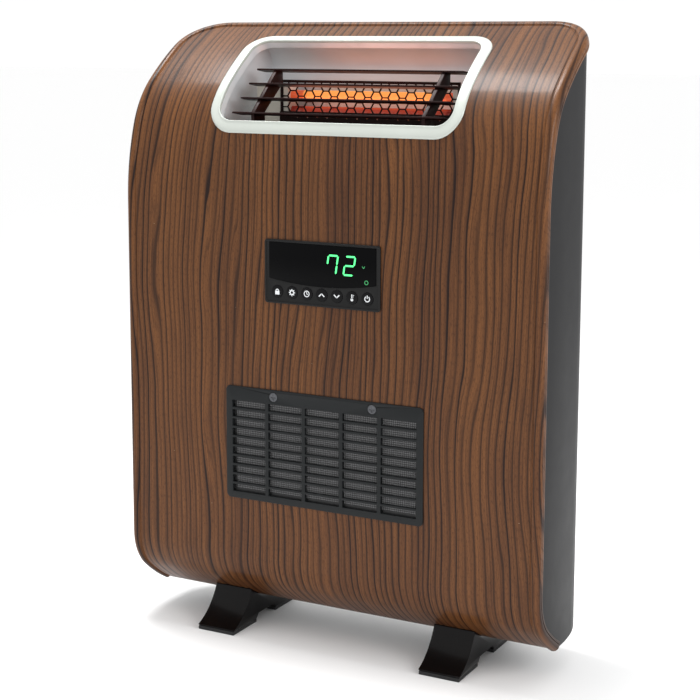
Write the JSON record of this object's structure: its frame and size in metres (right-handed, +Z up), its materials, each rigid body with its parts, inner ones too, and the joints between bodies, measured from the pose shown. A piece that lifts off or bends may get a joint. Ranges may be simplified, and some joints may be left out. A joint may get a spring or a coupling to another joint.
{
  "type": "infrared space heater",
  "caption": "Slim free-standing infrared heater with a wood-grain front that bends back over the top, a slanted louvred outlet, a lit display with keys, an intake grille and runner feet.",
  "frame": {"origin": "on the floor, under the middle of the overall box", "axes": "+Z up, -Y out of the front with the display and the grille, +X to the right of a person facing the front"},
  "size_m": [0.48, 0.144, 0.656],
  "materials": {
    "wood_film": "satin printed wood grain",
    "grey_shell": "satin",
    "pearl_trim": "pearl",
    "polished_sheet": "polished",
    "dark_sheet": "heat resistant black",
    "galvanised": "galvanised",
    "quartz": "clear",
    "element": "hot",
    "ceramic": "unglazed ceramic",
    "black_plastic": "satin",
    "gloss_black": "gloss",
    "digit_green": "lit",
    "board": "satin",
    "steel": "zinc plated",
    "rubber": "matte",
    "foam": "open cell",
    "charcoal": "fine texture"
  },
  "bodies": {
    "heater": {"air_duct": "galvanised", "blower_bush": "steel", "blower_housing": "galvanised", "blower_motor": "black_plastic", "board_relays": "black_plastic", "board_standoffs": "steel", "ceramic_cap_left": "ceramic", "ceramic_cap_right": "ceramic", "chamber_floor": "dark_sheet", "control_board": "board", "cord_inlet": "rubber", "display_bezel": "charcoal", "display_digits": "digit_green", "display_module": "black_plastic", "display_window": "gloss_black", "element_guard": "dark_sheet", "filter_carrier": "black_plastic", "filter_pad": "foam", "foot_left": "gloss_black", "foot_pads": "rubber", "foot_right": "gloss_black", "foot_screws": "steel", "front_shell": "wood_film", "grille_screws": "steel", "heating_coil_lower": "element", "heating_coil_upper": "element", "intake_grille": "charcoal", "key_switches": "black_plastic", "louvre_1": "dark_sheet", "louvre_2": "dark_sheet", "louvre_3": "dark_sheet", "louvre_4": "dark_sheet", "louvre_bracket_left": "dark_sheet", "louvre_bracket_right": "dark_sheet", "mounting_plate": "galvanised", "outlet_trim": "pearl_trim", "power_board": "board", "quartz_tube_lower": "quartz", "quartz_tube_upper": "quartz", "rear_cover": "galvanised", "rear_cover_screws": "steel", "rear_tub": "grey_shell", "reflector": "polished_sheet", "rocker_frame": "black_plastic", "room_sensor": "black_plastic", "shell_screws": "steel", "status_lamps": "digit_green", "terminal_block": "black_plastic", "thermal_cutout": "black_plastic", "tilt_switch": "black_plastic"},
    "key_down": {"key_down": "black_plastic"},
    "key_light": {"key_light": "black_plastic"},
    "key_lock": {"key_lock": "black_plastic"},
    "key_mode": {"key_mode": "black_plastic"},
    "key_power": {"key_power": "black_plastic"},
    "key_timer": {"key_timer": "black_plastic"},
    "key_up": {"key_up": "black_plastic"},
    "blower_rotor": {"blower_wheel": "black_plastic", "blower_shaft": "steel"},
    "power_rocker": {"power_rocker": "black_plastic"}
  },
  "joints": [
    {"name": "down_key_press", "type": "slide", "parent": "heater", "child": "key_down", "axis": [0, 1, 0], "range_m": [0, 0.001], "stiffness_N_per_m": 300},
    {"name": "light_key_press", "type": "slide", "parent": "heater", "child": "key_light", "axis": [0, 1, 0], "range_m": [0, 0.001], "stiffness_N_per_m": 300},
    {"name": "lock_key_press", "type": "slide", "parent": "heater", "child": "key_lock", "axis": [0, 1, 0], "range_m": [0, 0.001], "stiffness_N_per_m": 300},
    {"name": "mode_key_press", "type": "slide", "parent": "heater", "child": "key_mode", "axis": [0, 1, 0], "range_m": [0, 0.001], "stiffness_N_per_m": 300},
    {"name": "power_key_press", "type": "slide", "parent": "heater", "child": "key_power", "axis": [0, 1, 0], "range_m": [0, 0.001], "stiffness_N_per_m": 300},
    {"name": "timer_key_press", "type": "slide", "parent": "heater", "child": "key_timer", "axis": [0, 1, 0], "range_m": [0, 0.001], "stiffness_N_per_m": 300},
    {"name": "up_key_press", "type": "slide", "parent": "heater", "child": "key_up", "axis": [0, 1, 0], "range_m": [0, 0.001], "stiffness_N_per_m": 300},
    {"name": "blower_spin", "type": "hinge", "parent": "heater", "child": "blower_rotor", "pos_m": [0, 0.026, 0.322], "axis": [1, 0, 0], "continuous": true},
    {"name": "power_rocker_tilt", "type": "hinge", "parent": "heater", "child": "power_rocker", "pos_m": [0.12, 0.066, 0.092], "axis": [1, 0, 0], "range_deg": [-8, 8]}
  ]
}
